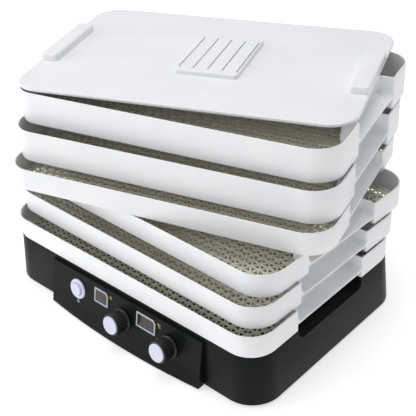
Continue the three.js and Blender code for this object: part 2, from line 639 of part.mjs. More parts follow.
// ---------------------------------------------------------------- trays
function ledge(topZ) {
  const inner = TRAY_LENGTH / 2 - NOTCH_DEPTH;
  const outer = TRAY_LENGTH / 2;
  const section = [[inner - LEDGE_OVERLAP, topZ - LEDGE_THICKNESS], [outer, topZ - LEDGE_THICKNESS], [outer, topZ]];
  for (let k = 0; k <= LEDGE_FILLET_STEPS; k += 1) {
    const angle = (k / LEDGE_FILLET_STEPS) * (Math.PI / 2);
    section.push([
      inner + LEDGE_FILLET * (1 - Math.sin(angle)),
      topZ + LEDGE_FILLET * (1 - Math.cos(angle)),
    ]);
  }
  section.push([inner - LEDGE_OVERLAP, topZ + LEDGE_FILLET]);
  const half = NOTCH_LENGTH / 2 + LEDGE_OVERLAP;
  return extrudeAlongY(section.map(([x, z]) => new THREE.Vector2(x, z)), -half, half);
}

function trayFrame(wallHeight, ledgeDrop) {
  const rim = SPIGOT_HEIGHT + wallHeight;
  const wall = extrude(notchedOutline(0), SPIGOT_HEIGHT, rim);
  const spigot = extrude(notchedOutline(SPIGOT_INSET), 0, SPIGOT_HEIGHT + 0.5);
  const spigotInside = SPIGOT_INSET + TRAY_WALL;
  const room = extrude(notchedOutline(TRAY_WALL), SPIGOT_HEIGHT + TRAY_FLOOR, rim + 1);
  const lowRoom = extrude(notchedOutline(spigotInside), TRAY_FLOOR, SPIGOT_HEIGHT + TRAY_FLOOR + 0.5);
  const floorOpening = extrude(notchedOutline(spigotInside + FLANGE_WIDTH), -1, TRAY_FLOOR + 0.5);
  const shell = cut(join(wall, spigot), room, lowRoom, floorOpening);
  const handle = ledge(rim - ledgeDrop);
  return join(shell, handle, handle.clone().rotateZ(Math.PI));
}

function trayMesh() {
  const outline = notchedOutline(SPIGOT_INSET + TRAY_WALL + MESH_CLEARANCE);
  const bottom = TRAY_FLOOR + GAP;
  const length = TRAY_LENGTH - 2 * (NOTCH_DEPTH + SPIGOT_INSET + TRAY_WALL + FLANGE_WIDTH);
  const width = TRAY_WIDTH - 2 * (SPIGOT_INSET + TRAY_WALL + FLANGE_WIDTH);
  const windows = [];
  for (let column = 0; column < MESH_COLUMNS; column += 1) {
    for (let row = 0; row < MESH_ROWS; row += 1) {
      const x = -length / 2 + (column * length) / MESH_COLUMNS;
      const y = -width / 2 + (row * width) / MESH_ROWS;
      windows.push(box(
        x + MESH_RIB / 2, x + length / MESH_COLUMNS - MESH_RIB / 2,
        y + MESH_RIB / 2, y + width / MESH_ROWS - MESH_RIB / 2,
        bottom - 1, bottom + MESH_THICKNESS + 1,
      ));
    }
  }
  return cut(extrude(outline, bottom, bottom + MESH_THICKNESS), mergeGeometries(windows));
}

// The bottom tray drops into the housing's rim; every other tray stands on the rim below it.
function addTrays(group) {
  let floor = BASE_TOP + GAP - SPIGOT_HEIGHT;
  TRAYS.forEach((pose, i) => {
    const level = TRAYS.length - i;
    const tray = new THREE.Group();
    tray.position.set(pose.x, pose.y, floor);
    tray.rotation.z = THREE.MathUtils.degToRad(pose.turn);
    tray.add(named(`tray_${level}_frame`, trayFrame(pose.wall, pose.drop), WHITE_PLASTIC));
    tray.add(named(`tray_${level}_mesh`, trayMesh(), MESH_PLASTIC));
    group.add(tray);
    floor += SPIGOT_HEIGHT + pose.wall + GAP;
  });
  return floor;
}

// ---------------------------------------------------------------- lid
function lidPlate() {
  const outline = (inset) => rectangle(LID_LENGTH, LID_WIDTH, LID_CORNER, inset);
  return loft([
    [outline(LID_EDGE), 0],
    [outline(LID_EDGE * 0.3), LID_EDGE * 0.3],
    [outline(0), LID_EDGE],
    [outline(0), LID_THICKNESS - LID_EDGE],
    [outline(LID_EDGE * 0.3), LID_THICKNESS - LID_EDGE * 0.3],
    [outline(LID_EDGE), LID_THICKNESS],
  ]);
}

function raisedBlock(length, width, height, radius, x, y) {
  const outline = (inset) => rectangle(length, width, radius, inset)
    .map((point) => point.add(new THREE.Vector2(x, y)));
  return loft([
    [outline(0), LID_THICKNESS - 1],
    [outline(0), LID_THICKNESS + height - 1.5],
    [outline(0.5), LID_THICKNESS + height - 0.4],
    [outline(1.6), LID_THICKNESS + height],
  ]);
}

function lid() {
  const gripX = LID_LENGTH / 2 - LID_EDGE - GRIP_WIDTH / 2;
  const vent = raisedBlock(VENT_WIDTH, VENT_LENGTH, VENT_HEIGHT, 4, VENT_X, VENT_Y);
  const grips = [-1, 1].map((side) => raisedBlock(GRIP_WIDTH, GRIP_LENGTH, GRIP_HEIGHT, GRIP_RADIUS, side * gripX, 0));
  const slots = [];
  for (let i = 0; i < VENT_SLOTS; i += 1) {
    const x = VENT_X + (i - (VENT_SLOTS - 1) / 2) * VENT_SLOT_PITCH;
    slots.push(box(
      x - VENT_SLOT_WIDTH / 2, x + VENT_SLOT_WIDTH / 2,
      VENT_Y - VENT_SLOT_LENGTH / 2, VENT_Y + VENT_SLOT_LENGTH / 2,
      -1, LID_THICKNESS + VENT_HEIGHT + 1,
    ));
  }
  return cut(join(lidPlate(), vent, ...grips), ...slots);
}

function addLid(group, floor) {
  const mesh = named('lid', lid(), WHITE_PLASTIC);
  mesh.position.set(LID_POSE.x, LID_POSE.y, floor);
  mesh.rotation.z = THREE.MathUtils.degToRad(LID_POSE.turn);
  group.add(mesh);
}

// ---------------------------------------------------------------- assembly
const machine = new THREE.Group();
addBase(machine);
addAirUnit(machine);
addControls(machine);
addLid(machine, addTrays(machine));

// Move the assembly so that the origin is the bottom centre of the whole.
machine.updateMatrixWorld(true);
const extent = new THREE.Box3().setFromObject(machine, true);
const middle = extent.getCenter(new THREE.Vector3());
machine.position.set(-middle.x, -middle.y, -extent.min.z);

const dehydrator = new THREE.Group();
dehydrator.add(machine);
export default dehydrator;
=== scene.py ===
# Food dehydrator: charcoal heated base, six white stacking trays fanned out above it, and a white lid.
import json
import math

import bmesh
import bpy
import numpy as np
from mathutils import Matrix, Vector


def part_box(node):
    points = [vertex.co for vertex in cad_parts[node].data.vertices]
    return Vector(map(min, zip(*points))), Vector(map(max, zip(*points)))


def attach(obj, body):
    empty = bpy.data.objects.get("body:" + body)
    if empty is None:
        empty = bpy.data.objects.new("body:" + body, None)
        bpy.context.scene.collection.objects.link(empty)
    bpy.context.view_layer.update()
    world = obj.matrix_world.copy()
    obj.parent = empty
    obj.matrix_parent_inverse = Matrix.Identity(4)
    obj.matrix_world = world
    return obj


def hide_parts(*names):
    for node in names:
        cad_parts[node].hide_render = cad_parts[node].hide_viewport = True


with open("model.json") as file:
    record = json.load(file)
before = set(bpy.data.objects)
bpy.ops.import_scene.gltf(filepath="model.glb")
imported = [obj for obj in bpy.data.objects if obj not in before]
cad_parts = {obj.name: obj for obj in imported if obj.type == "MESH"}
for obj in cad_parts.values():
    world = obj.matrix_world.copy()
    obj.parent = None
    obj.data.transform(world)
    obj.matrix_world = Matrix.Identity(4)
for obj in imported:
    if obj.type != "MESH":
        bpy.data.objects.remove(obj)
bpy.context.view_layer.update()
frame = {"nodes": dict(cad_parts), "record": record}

# ------------------------------------------------------------------ base housing
# The real base is a one-piece charcoal ABS moulding, 2.5 mm thick, with a slight flare towards the
# foot. A hand pocket is moulded into each short side, cut down from the rim.
MM = 0.001
TRAY_LENGTH = 435 * MM
TRAY_WIDTH = 284.4 * MM
TRAY_CORNER = 35.3 * MM
NOTCH_LENGTH = 127 * MM
NOTCH_DEPTH = 22 * MM
NOTCH_MOUTH_RADIUS = 2.5 * MM
NOTCH_INNER_RADIUS = 6 * MM
BASE_WALL = 2.5 * MM
BASE_FLARE = 5.9 * MM
POCKET_DEPTH = 14 * MM
POCKET_RADIUS = 8 * MM
CHARCOAL = "0F1213"
CHARCOAL_WORN = "131718"
CLOUD_SIZE = 60 * MM
SMOOTH_BELOW = 35.0


def linear(hex_colour):
    """Turns an sRGB hex colour into linear RGBA, as Blender's sockets want it."""
    parts = [int(hex_colour[i:i + 2], 16) / 255 for i in (0, 2, 4)]
    return [c / 12.92 if c <= 0.04045 else ((c + 0.055) / 1.055) ** 2.4 for c in parts] + [1.0]


def add_node(tree, kind, settings=(), **links):
    """Adds one shader node, sets its properties or inputs, and links its inputs to outputs."""
    made = tree.nodes.new(kind)
    for name, value in dict(settings).items():
        if name in made.inputs:
            made.inputs[name].default_value = value
        else:
            setattr(made, name, value)
    for name, output in links.items():
        tree.links.new(output, made.inputs[name.replace("_", " ")])
    return made


def moulded_plastic(name, colour, second, roughness, grain, bump, coat=0.0, specular=0.5):
    """Injection-moulded plastic: a fine spark-eroded grain, faint cloudy tone, uneven satin."""
    look = bpy.data.materials.new(name)
    look.use_nodes = True
    tree = look.node_tree
    shader = tree.nodes["Principled BSDF"]
    place = add_node(tree, "ShaderNodeTexCoord").outputs["Object"]
    cloud = add_node(tree, "ShaderNodeTexNoise", {"Scale": 1 / CLOUD_SIZE, "Detail": 3.0}, Vector=place)
    fine = add_node(tree, "ShaderNodeTexNoise", {"Scale": 1 / grain, "Detail": 2.0}, Vector=place)
    tone = add_node(tree, "ShaderNodeValToRGB", {}, Fac=cloud.outputs["Fac"])
    tone.color_ramp.elements[0].position = 0.35
    tone.color_ramp.elements[1].position = 0.65
    tone.color_ramp.elements[0].color = linear(colour)
    tone.color_ramp.elements[1].color = linear(second)
    satin = add_node(tree, "ShaderNodeMapRange", {"To Min": roughness - 0.05, "To Max": roughness + 0.05},
                     Value=cloud.outputs["Fac"])
    height = add_node(tree, "ShaderNodeBump", {"Strength": bump, "Distance": grain * 0.2},
                      Height=fine.outputs["Fac"])
    tree.links.new(tone.outputs["Color"], shader.inputs["Base Color"])
    tree.links.new(satin.outputs["Result"], shader.inputs["Roughness"])
    tree.links.new(height.outputs["Normal"], shader.inputs["Normal"])
    shader.inputs["IOR"].default_value = 1.5
    shader.inputs["Coat Weight"].default_value = coat
    shader.inputs["Specular IOR Level"].default_value = specular
    return look


# Charcoal ABS with a fine moulded grain: dark, even, with a soft wide highlight.
charcoal_abs = moulded_plastic("charcoal_grained_abs", CHARCOAL, CHARCOAL_WORN, 0.42, 0.0011, 0.35,
                               specular=0.1)


def rounded_outline(corners, steps=10):
    """Closed outline with each square corner (x, y, radius) turned by a quarter circle: a point is
    corner + arrive * r(sin a - 1) + leave * r(1 - cos a), with a from 0 to 90 degrees."""
    corners = np.asarray(corners, float)
    spot, radius = corners[:, None, :2], corners[:, None, 2:]
    leave = np.roll(corners[:, :2], -1, axis=0) - corners[:, :2]
    leave /= np.linalg.norm(leave, axis=1, keepdims=True)
    arrive = np.roll(leave, 1, axis=0)
    angle = np.linspace(0, math.pi / 2, steps + 1)[None, :, None]
    before = arrive[:, None] * radius * (np.sin(angle) - 1)
    after = leave[:, None] * radius * (1 - np.cos(angle))
    points = spot + before + after
    return points.reshape(-1, 2)


def rectangle(length, width, radius, inset=0.0, steps=10):
    """Rounded rectangle moved inwards by inset."""
    x, y, r = length / 2 - inset, width / 2 - inset, max(radius - inset, 0.1 * MM)
    return rounded_outline([[x, -y, r], [x, y, r], [-x, y, r], [-x, -y, r]], steps)


def plain_outline(inset):
    """The tray outline without its recesses."""
    return rectangle(TRAY_LENGTH, TRAY_WIDTH, TRAY_CORNER, inset, 16)


def notched_outline(inset):
    """The tray outline with a handle recess in each short side, moved inwards by inset."""
    x, y = TRAY_LENGTH / 2 - inset, TRAY_WIDTH / 2 - inset
    deep, half = TRAY_LENGTH / 2 - NOTCH_DEPTH - inset, NOTCH_LENGTH / 2 + inset
    r, mouth = TRAY_CORNER - inset, max(NOTCH_MOUTH_RADIUS - inset, 0.3 * MM)
    inner = NOTCH_INNER_RADIUS + inset
    right = [[x, -y, r], [x, -half, mouth], [deep, -half, inner],
             [deep, half, inner], [x, half, mouth], [x, y, r]]
    left = [[-px, -py, pr] for px, py, pr in right]
    return rounded_outline(right + left)


def swept_ring(outline, section):
    """Carries a closed section of (inset, height) pairs round an outline: a torus-like grid whose
    row i is outline(inset_i) at height_i. Returns its vertices and faces."""
    level_rings = [(outline(inset), height) for inset, height in section]
    rings = np.stack([np.c_[ring, np.full(len(ring), height)] for ring, height in level_rings])
    rows, columns = rings.shape[:2]
    i, j = np.meshgrid(np.arange(rows), np.arange(columns), indexing="ij")
    down, across = (i + 1) % rows, (j + 1) % columns
    faces = np.stack([i * columns + j, i * columns + across, down * columns + across, down * columns + j],
                     axis=-1)
    return rings.reshape(-1, 3), faces.reshape(-1, 4).tolist()


def stacked_solid(outlines, heights):
    """A solid through outlines of equal point count at rising heights, closed by a face at each end."""
    rings = np.stack([np.c_[outline, np.full(len(outline), z)] for outline, z in zip(outlines, heights)])
    rows, columns = rings.shape[:2]
    i, j = np.meshgrid(np.arange(rows - 1), np.arange(columns), indexing="ij")
    across = (j + 1) % columns
    below, above = i * columns, (i + 1) * columns
    sides = np.stack([below + j, below + across, above + across, above + j], axis=-1)
    bottom = list(range(columns))[::-1]
    top = [(rows - 1) * columns + k for k in range(columns)]
    return rings.reshape(-1, 3), sides.reshape(-1, 4).tolist() + [bottom, top]


def turned(points, angle=0.0, at=(0.0, 0.0, 0.0)):
    """Turns points about Z by an angle and then moves them."""
    c, s = math.cos(angle), math.sin(angle)
    return points @ np.array([[c, s, 0], [-s, c, 0], [0, 0, 1]]) + np.asarray(at, float)


def gathered(parts):
    """Several (vertices, faces) pairs as one."""
    count = np.cumsum([0] + [len(vertices) for vertices, _ in parts])
    faces = [[k + start for k in face] for (_, part), start in zip(parts, count) for face in part]
    return np.concatenate([vertices for vertices, _ in parts]), faces


def surface(name, vertices, faces, look, smooth=SMOOTH_BELOW):
    """A mesh object from vertices and faces, welded, facing outwards, smooth below an angle."""
    mesh = bpy.data.meshes.new(name)
    mesh.from_pydata([tuple(v) for v in vertices], [], faces)
    work = bmesh.new()
    work.from_mesh(mesh)
    bmesh.ops.remove_doubles(work, verts=work.verts, dist=1e-7)
    bmesh.ops.recalc_face_normals(work, faces=work.faces)
    work.to_mesh(mesh)
    work.free()
    mesh.shade_smooth()
    mesh.set_sharp_from_angle(angle=math.radians(smooth))
    mesh.materials.append(look)
    made = bpy.data.objects.new(name, mesh)
    bpy.context.scene.collection.objects.link(made)
    return made


def carve(target, tools, operation="DIFFERENCE"):
    """Cuts tools from target, or joins them to it, and keeps the result as target's own mesh."""
    for tool in tools:
        step = target.modifiers.new("carve", "BOOLEAN")
        step.operation, step.solver, step.object = operation, "EXACT", tool
    graph = bpy.context.evaluated_depsgraph_get()
    result = bpy.data.meshes.new_from_object(target.evaluated_get(graph))
    target.modifiers.clear()
    target.data = result
    target.data.shade_smooth()
    target.data.set_sharp_from_angle(angle=math.radians(SMOOTH_BELOW))
    for tool in tools:
        bpy.data.objects.remove(tool)
    return target


def block(low, high):
    """Vertices and faces of a box between two corners."""
    outline = np.array([[low[0], low[1]], [high[0], low[1]], [high[0], high[1]], [low[0], high[1]]])
    return stacked_solid([outline, outline], [low[2], high[2]])


base_low, base_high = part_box("base_housing")
base_x, base_y = (base_low.x + base_high.x) / 2, (base_low.y + base_high.y) / 2
base_bottom, base_top = base_low.z, base_high.z


def flare_at(z):
    """How far the housing's slanted side stands outside the tray outline at a height."""
    return BASE_FLARE * (base_top - z) / (base_top - base_bottom)


# The wall's closed section: foot, slanted outer side, rim, and back down on the inside.
foot_edge = 1.5 * MM
rim_edge = 0.6 * MM
housing_section = [
    (foot_edge - flare_at(base_bottom), base_bottom),
    (foot_edge * 0.3 - flare_at(base_bottom), base_bottom + foot_edge * 0.3),
    (-flare_at(base_bottom + foot_edge), base_bottom + foot_edge),
    (-flare_at(base_top - 2 * rim_edge), base_top - 2 * rim_edge),
    (rim_edge * 0.3, base_top - rim_edge * 0.3),
    (rim_edge, base_top),
    (BASE_WALL - 0.2 * MM, base_top),
    (BASE_WALL, base_top - 0.2 * MM),
    (BASE_WALL + foot_edge - flare_at(base_bottom), base_bottom + 5 * MM),
    (BASE_WALL + foot_edge - flare_at(base_bottom), base_bottom),
]
vertices, faces = swept_ring(plain_outline, housing_section)
housing = surface("charcoal_housing", turned(vertices, 0, (base_x, base_y, 0)), faces, charcoal_abs)


def pocket_solid(grow, side):
    """The hand pocket's volume, grown by a wall: a rounded outline in (y, z) carried along x. The
    pocket itself runs on past the rim and the side; its liner stays just short of both."""
    half, low = NOTCH_LENGTH / 2 + grow, base_top - POCKET_DEPTH - grow
    high = base_top + (5 * MM if grow == 0 else -0.05 * MM)
    outline = rounded_outline([[half, low, POCKET_RADIUS], [half, high, 0.05 * MM],
                               [-half, high, 0.05 * MM], [-half, low, POCKET_RADIUS]])
    inner = TRAY_LENGTH / 2 - NOTCH_DEPTH - grow
    outer = TRAY_LENGTH / 2 + (10 * MM if grow == 0 else -1 * MM)
    vertices, faces = stacked_solid([outline, outline], [inner, outer])
    vertices = np.c_[side * vertices[:, 2], vertices[:, 0], vertices[:, 1]]
    return vertices + np.array([base_x, base_y, 0.0]), faces


liners = [surface("liner", *pocket_solid(BASE_WALL, side), charcoal_abs) for side in (-1, 1)]
carve(housing, liners, "UNION")
pockets = [surface("pocket", *pocket_solid(0.0, side), charcoal_abs) for side in (-1, 1)]
panel_low, panel_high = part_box("control_panel")
inlet_low, inlet_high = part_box("power_inlet")
panel_margin = 5 * MM
panel_reach = 40 * MM
panel_foot = 8 * MM
inlet_margin = 3 * MM
openings = [
    block((panel_low.x + panel_margin, panel_low.y, base_bottom + panel_foot),
          (panel_high.x - panel_margin, panel_low.y + panel_reach, panel_high.z - panel_margin)),
    block((inlet_low.x + inlet_margin, inlet_low.y, inlet_low.z + inlet_margin),
          (inlet_high.x - inlet_margin, inlet_high.y, inlet_high.z - inlet_margin)),
]
carve(housing, pockets + [surface("opening", *part, charcoal_abs) for part in openings])
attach(housing, "base")
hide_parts("base_housing")

# ------------------------------------------------------------------ cover, feet, screws, air unit
# Inside and under the base: moulded cover with its air slots, rubber feet, steel screws, fan, heater,
# grille and inlet. The modelled parts stay as they are, and get their finish here.
RUBBER_BLACK = "1B1B1B"
NICKEL_GREY = "B9BCC0"


def rolled_metal(name, colour, second, roughness, grain):
    """Rolled or drawn metal: long fine streaks along X that vary tone and roughness."""
    look = bpy.data.materials.new(name)
    look.use_nodes = True
    tree = look.node_tree
    shader = tree.nodes["Principled BSDF"]
    place = add_node(tree, "ShaderNodeTexCoord").outputs["Object"]
    stretch = add_node(tree, "ShaderNodeMapping", {"Scale": (0.08, 1.0, 1.0)}, Vector=place)
    streak = add_node(tree, "ShaderNodeTexNoise", {"Scale": 1 / grain, "Detail": 4.0},
                      Vector=stretch.outputs["Vector"])
    tone = add_node(tree, "ShaderNodeValToRGB", {}, Fac=streak.outputs["Fac"])
    tone.color_ramp.elements[0].color = linear(second)
    tone.color_ramp.elements[1].color = linear(colour)
    rough = add_node(tree, "ShaderNodeMapRange", {"To Min": roughness - 0.08, "To Max": roughness + 0.1},
                     Value=streak.outputs["Fac"])
    tree.links.new(tone.outputs["Color"], shader.inputs["Base Color"])
    tree.links.new(rough.outputs["Result"], shader.inputs["Roughness"])
    shader.inputs["Metallic"].default_value = 1.0
    return look


def finish(look, *names):
    """Gives CAD nodes a finish."""
    for name in names:
        part = frame["nodes"][name]
        part.data.materials.clear()
        part.data.materials.append(look)


# Black ABS of the inner mouldings, matt from its grain.
black_abs = moulded_plastic("black_grained_abs", "101213", "16181A", 0.5, 0.001, 0.3)
# Moulded rubber, almost without shine.
rubber = moulded_plastic("black_moulded_rubber", RUBBER_BLACK, "242424", 0.85, 0.0008, 0.5)
# Bright zinc plate on drawn steel.
zinc_steel = rolled_metal("zinc_plated_steel", NICKEL_GREY, "9A9DA1", 0.32, 0.0015)
# Steel sheath of the heater, browned by heat.
tinted_steel = rolled_metal("heat_tinted_steel_tube", "8E7C6C", "6C5A4C", 0.4, 0.002)
# Pressed mica sheet, speckled and matt.
mica_board = moulded_plastic("pressed_mica_board", "B8A988", "A39270", 0.6, 0.002, 0.5)
# Green lacquer on the circuit board.
solder_mask = moulded_plastic("green_solder_mask", "24603A", "2C6E44", 0.35, 0.0015, 0.2)
finish(black_abs, "bottom_cover", "fan_shroud", "fan_impeller", "power_inlet", "power_switch",
       "display_module_1", "display_module_2", "knob_encoder_1", "knob_encoder_2")
finish(charcoal_abs, "deck_grille")
finish(rubber, *[f"foot_{i}" for i in (1, 2, 3, 4)])
finish(zinc_steel, "fan_motor", "motor_shaft", "thermostat", "knob_shaft_1", "knob_shaft_2",
       *[f"cover_screw_{i}" for i in (1, 2, 3, 4)])
finish(tinted_steel, "heater_coil")
finish(mica_board, "heater_support")
finish(solder_mask, "control_board")

# ------------------------------------------------------------------ control panel
# A charcoal ABS panel on the front of the base. It stands out most at its foot, which bows out at the
# middle. It is printed with plain marks. It keeps the frame's shape.
PANEL_BOW = 7.5 * MM
finish(charcoal_abs, "control_panel")
# Rows of face_frame: along the panel, up its slope, and straight out of it, as the knobs' axes point.
# The straight lower edge of the face lies PANEL_BOW behind the front of the panel's box.
out = Vector(next(j for j in frame["record"]["behaviour"]["joints"] if j["name"] == "knob_1_turn")["axis"])
face_frame = np.array([[1, 0, 0], [0, out.z, -out.y], [0, out.y, out.z]])
face_origin = np.array([base_x, panel_low.y + PANEL_BOW, panel_low.z])


def on_face(points):
    """Takes points from the panel's own axes (along, up the slope, out) into the frame's axes."""
    return points @ face_frame + face_origin


PRINT_THICKNESS = 0.12 * MM
PRINT_LIFT = 0.02 * MM


def printed(name, strokes, look):
    """Pad-printed strokes on the panel: each is a line of (along, up) points with a width, made a
    thin ribbon by moving it sideways by half its width."""
    parts = []
    for line, width in strokes:
        line = np.asarray(line, float) * MM
        along = np.gradient(line, axis=0)
        along /= np.linalg.norm(along, axis=1, keepdims=True)
        side = np.c_[-along[:, 1], along[:, 0]] * width * MM / 2
        low = np.stack([line - side, line + side], axis=1)
        n = len(line)
        flat = np.concatenate([low.reshape(-1, 2)] * 2)
        height = np.repeat([0.0, PRINT_THICKNESS], 2 * n) + PRINT_LIFT
        k = np.arange(n - 1) * 2
        top = np.stack([k, k + 2, k + 3, k + 1], axis=1) + 2 * n
        bottom = np.stack([k + 1, k + 3, k + 2, k], axis=1)
        left = np.stack([k, k + 2, k + 2 + 2 * n, k + 2 * n], axis=1)
        right = np.stack([k + 1 + 2 * n, k + 3 + 2 * n, k + 3, k + 1], axis=1)
        ends = [[0, 2 * n, 2 * n + 1, 1], [2 * n - 2, 2 * n - 1, 4 * n - 1, 4 * n - 2]]
        parts.append((np.c_[flat, height], np.concatenate([top, bottom, left, right]).tolist() + ends))
    vertices, faces = gathered(parts)
    made = surface(name, on_face(vertices), faces, look)
    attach(made, "base")
    return made


def circle_line(x, y, radius, start=0.0, end=360.0, steps=20):
    """Points on an arc, in millimetres on the panel."""
    angle = np.radians(np.linspace(start, end, steps + 1))
    return np.c_[x + radius * np.cos(angle), y + radius * np.sin(angle)]


# Pad-printing ink, yellow for the units and white for the rest.
yellow_ink = moulded_plastic("yellow_pad_print", "E3D51E", "D6C81C", 0.5, 0.0008, 0.1)
white_ink = moulded_plastic("white_pad_print", "DDE2EA", "CFD5DF", 0.5, 0.0008, 0.1)
# Places of the controls on the panel, in millimetres along it and up its slope.
BUTTON_X, BUTTON_UP = -73.3, 41
KNOB_1_X, KNOB_1_UP = 10.8, 34.2
KNOB_2_X, KNOB_2_UP = 91.2, 34.9
printed("hour_mark", [
    ([[-13.0, 52.6], [-13.0, 57.0]], 0.8),
    (circle_line(-11.8, 54.0, 1.2, 180, 0, 8), 0.8),
    ([[-10.6, 54.0], [-10.6, 52.6]], 0.8),
], yellow_ink)
printed("degree_mark", [
    (circle_line(71.2, 56.4, 0.8), 0.5),
    (circle_line(74.4, 54.4, 1.9, 50, 310, 14), 0.8),
], yellow_ink)
printed("power_mark", [
    (circle_line(BUTTON_X, BUTTON_UP - 18.4, 1.9, 130, 410, 16), 0.7),
    ([[BUTTON_X, BUTTON_UP - 17.9], [BUTTON_X, BUTTON_UP - 15.8]], 0.7),
], white_ink)
printed("knob_marks", [
    ([[x - 20.5, up], [x - 18, up]], 1.4) for x, up in ((KNOB_2_X, KNOB_2_UP), (KNOB_1_X, KNOB_1_UP))
], white_ink)

# ------------------------------------------------------------------ power button
# A round pale lavender push button, dished in the middle, in a raised ring of the same plastic.
# Polished ABS with a thin clear gloss.
lavender = moulded_plastic("pale_lavender_polished_abs", "DADCEE", "D2D4EA", 0.28, 0.0012, 0.08, 0.3)


def revolved(section, steps=48, flutes=0, depth=0.0, from_row=0, to_row=0):
    """Turns a section of (radius, height) pairs about the panel's out axis. Rows between from_row
    and to_row get flutes: their radius drops by depth * (0.5 - 0.5 cos(flutes * angle)) ** 2."""
    section = np.asarray(section, float)
    angle = np.arange(steps) * 2 * math.pi / steps
    radius = np.repeat(section[:, :1], steps, axis=1)
    wave = depth * (0.5 - 0.5 * np.cos(flutes * angle)) ** 2
    radius[from_row:to_row] -= wave
    height = np.repeat(section[:, 1:], steps, axis=1)
    points = np.stack([radius * np.cos(angle), radius * np.sin(angle), height], axis=-1)
    rows = len(section)
    i, j = np.meshgrid(np.arange(rows - 1), np.arange(steps), indexing="ij")
    across = (j + 1) % steps
    below, above = i * steps, (i + 1) * steps
    faces = np.stack([below + j, below + across, above + across, above + j], axis=-1)
    return points.reshape(-1, 3), faces.reshape(-1, 4).tolist()


def on_panel(name, node, body, slot, look, section, x, up, **details):
    """One turned control piece on the panel, in place of its CAD node. Sizes are millimetres."""
    vertices, faces = revolved(section, **details)
    made = surface(name, on_face((vertices + np.array([x, up, 0.0])) * MM), faces, look)
    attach(made, body)
    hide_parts(node)
    return made


on_panel("button_ring", "power_button_ring", "base", "lavender_plastic", lavender, [
    (8.6, -6), (9.6, -6), (9.6, 0.3), (13.6, 0.3), (13.8, 0.6), (13.7, 1.4), (13.2, 2.2), (12.4, 2.8),
    (11.4, 3.0), (10.0, 2.6), (9.0, 2.1), (8.6, 1.6), (8.6, -6),
], BUTTON_X, BUTTON_UP)
on_panel("push_button", "power_button", "power_button", "lavender_plastic", lavender, [
    (0, -4), (8.2, -4), (8.2, 4.2), (8.0, 4.7), (7.5, 4.97), (6.9, 5.0), (5.6, 4.6), (3.6, 4.3), (0, 4.2),
], BUTTON_X, BUTTON_UP)

# ------------------------------------------------------------------ displays
# Two small windows: a light grey moulded frame with one cut corner round a smoked acrylic lens, with
# the unlit bars of a digital read-out just visible in it.
# Light grey satin ABS for the frames.
bezel_grey = moulded_plastic("light_grey_satin_abs", "BBC4CC", "B0BAC2", 0.35, 0.001, 0.1)
# Dark brown acrylic with a smooth, glossy face.
smoked_acrylic = moulded_plastic("smoked_acrylic", "2A2625", "322D2B", 0.1, 0.002, 0.02)
# The read-out bars while they are off: a dull brown.
unlit_red = moulded_plastic("unlit_red_segment", "4E3F3A", "554640", 0.3, 0.001, 0.05)
# Each window's centre along the panel, its width and height, and its number of digits.
DISPLAY_UP = 48.2
DISPLAYS = {1: (-28.8, 25, 20.5, 2), 2: (51.6, 33, 20.5, 3)}
CORNER_CUT = 4
DIGIT_PITCH = 7.2
DIGIT_HALF_HEIGHT = 4.6
LEVEL_BAR_HALF = 1.8
SIDE_BAR_OFFSET = 2.4
SIDE_BAR_START, SIDE_BAR_END = 0.7, 4.0
BAR_WIDTH = 0.9
LENS_FACE = 0.9 * MM


def window_outline(centre, width, height, inset):
    """Rectangle with its upper right corner cut off, every corner slightly rounded."""
    x, y, cut = width / 2 - inset, height / 2 - inset, CORNER_CUT - 0.6 * inset
    corners = np.array([[-x, -y], [x, -y], [x, y - cut], [x - cut, y], [-x, y]])
    before = np.roll(corners, 1, axis=0) - corners
    after = np.roll(corners, -1, axis=0) - corners
    before /= np.linalg.norm(before, axis=1, keepdims=True)
    after /= np.linalg.norm(after, axis=1, keepdims=True)
    share = np.linspace(0, 1, 4)[None, :, None]
    ease = 0.9
    start, end = corners + before * ease, corners + after * ease
    curve = ((1 - share) ** 2 * start[:, None] + 2 * share * (1 - share) * corners[:, None]
             + share ** 2 * end[:, None])
    return (curve.reshape(-1, 2) + np.array([centre, DISPLAY_UP])) * MM


for number, (x, width, height, digits) in DISPLAYS.items():
    vertices, faces = swept_ring(
        lambda inset: window_outline(x, width, height, inset),
        [(0, 0.3 * MM), (0, 1.0 * MM), (0.3, 1.35 * MM), (0.6, 1.4 * MM), (1.7, 1.4 * MM), (2.0, 1.2 * MM),
         (2.0, 0.3 * MM)],
    )
    bezel = surface(f"window_frame_{number}", on_face(vertices), faces, bezel_grey)
    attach(bezel, "base")
    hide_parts(f"display_frame_{number}")
    finish(smoked_acrylic, f"display_lens_{number}")
    strokes = []
    for digit in range(digits):
        cx = x + (digit - (digits - 1) / 2) * DIGIT_PITCH
        for level in (-DIGIT_HALF_HEIGHT, 0, DIGIT_HALF_HEIGHT):
            height = DISPLAY_UP + level
            strokes.append(([[cx - LEVEL_BAR_HALF, height], [cx + LEVEL_BAR_HALF, height]], BAR_WIDTH))
        for bar_x in (cx - SIDE_BAR_OFFSET, cx + SIDE_BAR_OFFSET):
            for start, end in ((SIDE_BAR_START, SIDE_BAR_END), (-SIDE_BAR_END, -SIDE_BAR_START)):
                strokes.append(([[bar_x, DISPLAY_UP + start], [bar_x, DISPLAY_UP + end]], BAR_WIDTH))
    bars = printed(f"unlit_digits_{number}", strokes, unlit_red)
    bars.data.transform(Matrix.Translation(out * LENS_FACE))

